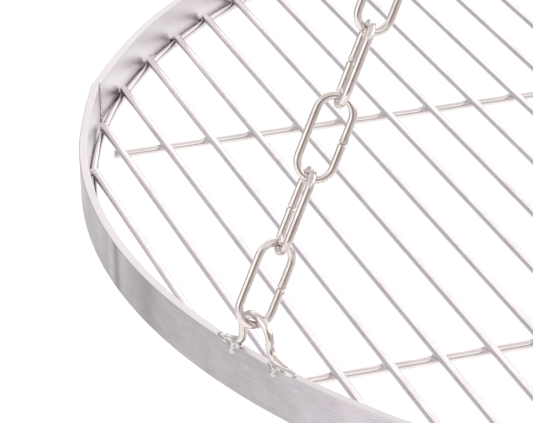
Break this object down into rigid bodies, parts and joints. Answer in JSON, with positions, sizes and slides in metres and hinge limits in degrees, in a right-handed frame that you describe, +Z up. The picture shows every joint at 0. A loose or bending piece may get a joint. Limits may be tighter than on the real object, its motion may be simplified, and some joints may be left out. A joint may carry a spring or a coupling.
{
  "type": "campfire tripod grate",
  "caption": "Round welded grill grate with a flat-bar hoop, parallel bars and three link chains that meet at a ring and an S hook.",
  "frame": {"origin": "the hang point, on the inside of the hook's upper bowl, where the hook rests on what holds it", "axes": "+Z up along the line of the hanging assembly, which is its longest dimension; the grate's bars run along +Y and its cross wires along +X"},
  "size_m": [0.8, 0.8, 0.9061],
  "materials": {
    "brushed_flat_bar": "brushed lengthwise, bare",
    "grill_wire": "drawn wire, satin, bare",
    "chain_steel": "polished, bare"
  },
  "bodies": {
    "hook": {"hook": "chain_steel"},
    "ring": {"top_ring": "chain_steel"},
    "grate": {"hoop": "brushed_flat_bar", "support_ring": "grill_wire", "cross_wire_1": "grill_wire", "cross_wire_2": "grill_wire", "grill_bar_01": "grill_wire", "grill_bar_02": "grill_wire", "grill_bar_03": "grill_wire", "grill_bar_04": "grill_wire", "grill_bar_05": "grill_wire", "grill_bar_06": "grill_wire", "grill_bar_07": "grill_wire", "grill_bar_08": "grill_wire", "grill_bar_09": "grill_wire", "grill_bar_10": "grill_wire", "grill_bar_11": "grill_wire", "grill_bar_12": "grill_wire", "grill_bar_13": "grill_wire", "grill_bar_14": "grill_wire", "grill_bar_15": "grill_wire", "grill_bar_16": "grill_wire", "grill_bar_17": "grill_wire", "grill_bar_18": "grill_wire", "grill_bar_19": "grill_wire", "grill_bar_20": "grill_wire", "grill_bar_21": "grill_wire", "grill_bar_22": "grill_wire", "grill_bar_23": "grill_wire", "grill_bar_24": "grill_wire", "grill_bar_25": "grill_wire", "grill_bar_26": "grill_wire", "grill_bar_27": "grill_wire", "grill_bar_28": "grill_wire", "grill_bar_29": "grill_wire", "grill_bar_30": "grill_wire", "grill_bar_31": "grill_wire", "grill_bar_32": "grill_wire", "grill_bar_33": "grill_wire", "grill_bar_34": "grill_wire", "grill_bar_35": "grill_wire", "chain_eye_a": "chain_steel", "chain_eye_b": "chain_steel", "chain_eye_c": "chain_steel"},
    "chain_a_run": {"chain_a_run": "chain_steel"},
    "chain_a_link_1": {"chain_a_link_1": "chain_steel"},
    "chain_a_link_2": {"chain_a_link_2": "chain_steel"},
    "chain_a_link_3": {"chain_a_link_3": "chain_steel"},
    "chain_a_link_4": {"chain_a_link_4": "chain_steel"},
    "chain_b_run": {"chain_b_run": "chain_steel"},
    "chain_b_link_1": {"chain_b_link_1": "chain_steel"},
    "chain_b_link_2": {"chain_b_link_2": "chain_steel"},
    "chain_b_link_3": {"chain_b_link_3": "chain_steel"},
    "chain_b_link_4": {"chain_b_link_4": "chain_steel"},
    "chain_c_run": {"chain_c_run": "chain_steel"},
    "chain_c_link_1": {"chain_c_link_1": "chain_steel"},
    "chain_c_link_2": {"chain_c_link_2": "chain_steel"},
    "chain_c_link_3": {"chain_c_link_3": "chain_steel"},
    "chain_c_link_4": {"chain_c_link_4": "chain_steel"}
  },
  "joints": [
    {"name": "ring_swing", "type": "hinge", "parent": "hook", "child": "ring", "pos_m": [0, 0, -0.065], "axis": [-0.9397, -0.342, 0], "range_deg": [-25, 25]},
    {"name": "grate_swing", "type": "hinge", "parent": "ring", "child": "grate", "pos_m": [0, 0, -0.1072], "axis": [0.342, -0.9397, 0], "range_deg": [-20, 20]},
    {"name": "chain_a_twist", "type": "hinge", "parent": "grate", "child": "chain_a_run", "pos_m": [-0.37372, -0.13602, -0.86083], "axis": [0.4393, 0.1599, 0.884], "range_deg": [-12, 12]},
    {"name": "chain_a_link_1_twist", "type": "hinge", "parent": "grate", "child": "chain_a_link_1", "pos_m": [-0.37372, -0.13602, -0.86083], "axis": [0.4393, 0.1599, 0.884], "range_deg": [-4.4, 4.4]},
    {"name": "chain_a_link_2_twist", "type": "hinge", "parent": "grate", "child": "chain_a_link_2", "pos_m": [-0.37372, -0.13602, -0.86083], "axis": [0.4393, 0.1599, 0.884], "range_deg": [-6.8, 6.8]},
    {"name": "chain_a_link_3_twist", "type": "hinge", "parent": "grate", "child": "chain_a_link_3", "pos_m": [-0.37372, -0.13602, -0.86083], "axis": [0.4393, 0.1599, 0.884], "range_deg": [-9.2, 9.2]},
    {"name": "chain_a_link_4_twist", "type": "hinge", "parent": "grate", "child": "chain_a_link_4", "pos_m": [-0.37372, -0.13602, -0.86083], "axis": [0.4393, 0.1599, 0.884], "range_deg": [-11.6, 11.6]},
    {"name": "chain_b_twist", "type": "hinge", "parent": "grate", "child": "chain_b_run", "pos_m": [0.30466, -0.25564, -0.86083], "axis": [-0.3548, 0.2897, 0.8889], "range_deg": [-12, 12]},
    {"name": "chain_b_link_1_twist", "type": "hinge", "parent": "grate", "child": "chain_b_link_1", "pos_m": [0.30466, -0.25564, -0.86083], "axis": [-0.3548, 0.2897, 0.8889], "range_deg": [-4.4, 4.4]},
    {"name": "chain_b_link_2_twist", "type": "hinge", "parent": "grate", "child": "chain_b_link_2", "pos_m": [0.30466, -0.25564, -0.86083], "axis": [-0.3548, 0.2897, 0.8889], "range_deg": [-6.8, 6.8]},
    {"name": "chain_b_link_3_twist", "type": "hinge", "parent": "grate", "child": "chain_b_link_3", "pos_m": [0.30466, -0.25564, -0.86083], "axis": [-0.3548, 0.2897, 0.8889], "range_deg": [-9.2, 9.2]},
    {"name": "chain_b_link_4_twist", "type": "hinge", "parent": "grate", "child": "chain_b_link_4", "pos_m": [0.30466, -0.25564, -0.86083], "axis": [-0.3548, 0.2897, 0.8889], "range_deg": [-11.6, 11.6]},
    {"name": "chain_c_twist", "type": "hinge", "parent": "grate", "child": "chain_c_run", "pos_m": [0.06906, 0.39166, -0.86083], "axis": [-0.0856, -0.45, 0.8889], "range_deg": [-12, 12]},
    {"name": "chain_c_link_1_twist", "type": "hinge", "parent": "grate", "child": "chain_c_link_1", "pos_m": [0.06906, 0.39166, -0.86083], "axis": [-0.0856, -0.45, 0.8889], "range_deg": [-4.4, 4.4]},
    {"name": "chain_c_link_2_twist", "type": "hinge", "parent": "grate", "child": "chain_c_link_2", "pos_m": [0.06906, 0.39166, -0.86083], "axis": [-0.0856, -0.45, 0.8889], "range_deg": [-6.8, 6.8]},
    {"name": "chain_c_link_3_twist", "type": "hinge", "parent": "grate", "child": "chain_c_link_3", "pos_m": [0.06906, 0.39166, -0.86083], "axis": [-0.0856, -0.45, 0.8889], "range_deg": [-9.2, 9.2]},
    {"name": "chain_c_link_4_twist", "type": "hinge", "parent": "grate", "child": "chain_c_link_4", "pos_m": [0.06906, 0.39166, -0.86083], "axis": [-0.0856, -0.45, 0.8889], "range_deg": [-11.6, 11.6]}
  ],
  "couplings": [
    {"joint": "chain_a_link_1_twist", "follows": "chain_a_twist", "ratio": 0.2},
    {"joint": "chain_a_link_2_twist", "follows": "chain_a_twist", "ratio": 0.4},
    {"joint": "chain_a_link_3_twist", "follows": "chain_a_twist", "ratio": 0.6},
    {"joint": "chain_a_link_4_twist", "follows": "chain_a_twist", "ratio": 0.8},
    {"joint": "chain_b_link_1_twist", "follows": "chain_b_twist", "ratio": 0.2},
    {"joint": "chain_b_link_2_twist", "follows": "chain_b_twist", "ratio": 0.4},
    {"joint": "chain_b_link_3_twist", "follows": "chain_b_twist", "ratio": 0.6},
    {"joint": "chain_b_link_4_twist", "follows": "chain_b_twist", "ratio": 0.8},
    {"joint": "chain_c_link_1_twist", "follows": "chain_c_twist", "ratio": 0.2},
    {"joint": "chain_c_link_2_twist", "follows": "chain_c_twist", "ratio": 0.4},
    {"joint": "chain_c_link_3_twist", "follows": "chain_c_twist", "ratio": 0.6},
    {"joint": "chain_c_link_4_twist", "follows": "chain_c_twist", "ratio": 0.8}
  ]
}
